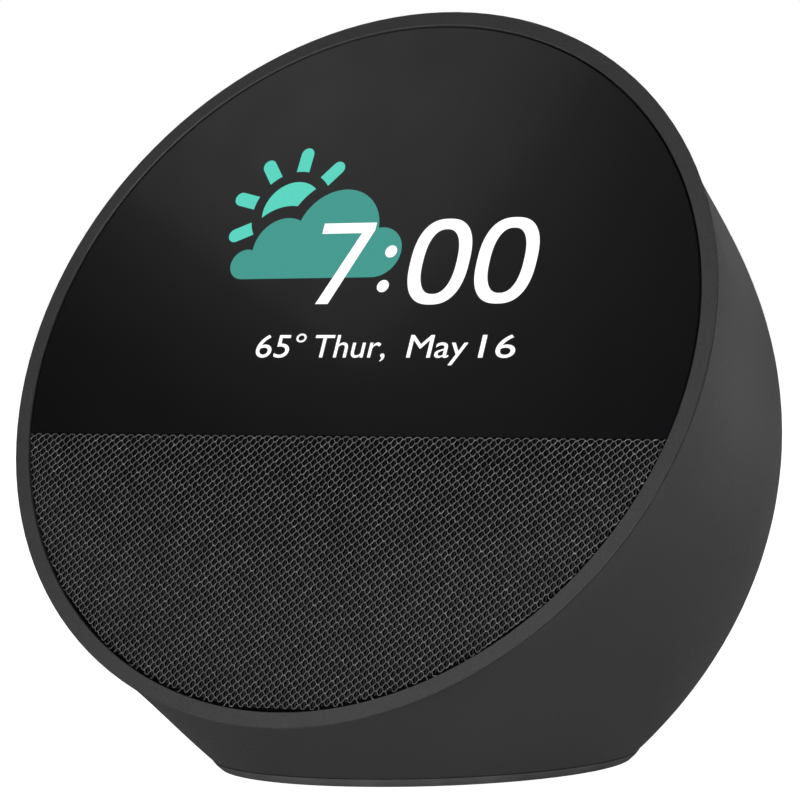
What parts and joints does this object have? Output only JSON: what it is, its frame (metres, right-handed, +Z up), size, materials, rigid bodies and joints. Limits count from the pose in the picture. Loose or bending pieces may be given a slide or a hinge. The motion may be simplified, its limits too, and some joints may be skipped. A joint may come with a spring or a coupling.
{
  "type": "smart display",
  "caption": "Small dome-shaped tabletop smart display: tilted round face with a dark lens over a speaker grille, top buttons, rear power inlet.",
  "frame": {"origin": "centre of the round foot, on the surface it stands on", "axes": "+Z up; the round face looks towards -Y and leans back; +X is to the viewer's right when looking at the face"},
  "size_m": [0.113, 0.1003, 0.1089],
  "materials": {
    "shell_plastic": "fine matte moulded texture",
    "ring_plastic": "fine sparkle-grain matte",
    "button_plastic": "matte, same as the shell",
    "lens_glass": "black-backed gloss lens",
    "adhesive_film": "black foam tape",
    "panel_glass": "display cell",
    "backlight_steel": "pressed steel tray",
    "flex_film": "amber film",
    "frame_plastic": "moulded, matte",
    "grille_cloth": "open net knit over a dark backing",
    "foam": "closed-cell foam",
    "basket_steel": "black painted pressed steel",
    "surround_rubber": "soft matte rubber",
    "cone_paper": "black pressed pulp",
    "copper": "enamelled copper winding",
    "spider_cloth": "resin-dipped cloth",
    "plated_steel": "zinc plated",
    "ferrite": "ferrite ceramic",
    "board_green": "solder mask over glass laminate",
    "screw_steel": "black zinc",
    "chip_resin": "moulded epoxy",
    "tin_plate": "tin-plated sheet",
    "thermal_pad": "soft silicone pad",
    "aluminium": "satin",
    "connector_nylon": "glass-filled nylon",
    "antenna_board": "laminate with copper track",
    "foot_rubber": "non-slip rubber",
    "ballast_iron": "cast, painted",
    "lead_pvc": "twin lead jacket"
  },
  "bodies": {
    "housing": {"ballast_weight": "ballast_iron", "base_foot": "foot_rubber", "base_plate": "frame_plastic", "base_screws": "screw_steel", "bezel_ring": "ring_plastic", "board_connectors": "connector_nylon", "board_screws": "screw_steel", "button_board": "board_green", "button_board_screws": "screw_steel", "cover_lens": "lens_glass", "dc_jack": "connector_nylon", "dc_jack_pin": "plated_steel", "display_backlight": "backlight_steel", "display_flex": "flex_film", "display_panel": "panel_glass", "frame_screws": "screw_steel", "front_frame": "frame_plastic", "grille_cloth": "grille_cloth", "grille_frame": "frame_plastic", "heat_spreader": "aluminium", "inlet_cup": "connector_nylon", "jack_board": "board_green", "jack_lead": "lead_pvc", "lens_adhesive": "adhesive_film", "main_board": "board_green", "microphone_boots": "foot_rubber", "microphone_off_switch": "tin_plate", "microphones": "tin_plate", "pole_plate": "plated_steel", "processor_chip": "chip_resin", "rear_shell": "shell_plastic", "shield_can": "tin_plate", "speaker_basket": "basket_steel", "speaker_gasket": "foam", "speaker_magnet": "ferrite", "speaker_screws": "screw_steel", "speaker_yoke": "plated_steel", "thermal_pad": "thermal_pad", "volume_down_switch": "tin_plate", "volume_up_switch": "tin_plate", "wifi_antenna_left": "antenna_board", "wifi_antenna_right": "antenna_board"},
    "volume_down_cap": {"volume_down_button": "button_plastic", "volume_down_plunger": "connector_nylon"},
    "microphone_off_cap": {"microphone_off_button": "button_plastic", "microphone_off_plunger": "connector_nylon"},
    "volume_up_cap": {"volume_up_button": "button_plastic", "volume_up_plunger": "connector_nylon"},
    "speaker_diaphragm": {"speaker_cone": "cone_paper", "speaker_dust_cap": "cone_paper", "voice_coil": "copper", "speaker_surround": "surround_rubber", "speaker_spider": "spider_cloth"}
  },
  "joints": [
    {"name": "volume_down_press", "type": "slide", "parent": "housing", "child": "volume_down_cap", "axis": [0, -0.597, -0.8022], "range_m": [0, 0.0005], "stiffness_N_per_m": 600, "springref_m": -0.0008},
    {"name": "microphone_off_press", "type": "slide", "parent": "housing", "child": "microphone_off_cap", "axis": [0, -0.597, -0.8022], "range_m": [0, 0.0005], "stiffness_N_per_m": 600, "springref_m": -0.0008},
    {"name": "volume_up_press", "type": "slide", "parent": "housing", "child": "volume_up_cap", "axis": [0, -0.597, -0.8022], "range_m": [0, 0.0005], "stiffness_N_per_m": 600, "springref_m": -0.0008},
    {"name": "diaphragm_travel", "type": "slide", "parent": "housing", "child": "speaker_diaphragm", "axis": [0, -0.878, 0.4787], "range_m": [-0.001, 0.001], "stiffness_N_per_m": 700, "deforming": ["speaker_surround", "speaker_spider"]}
  ]
}
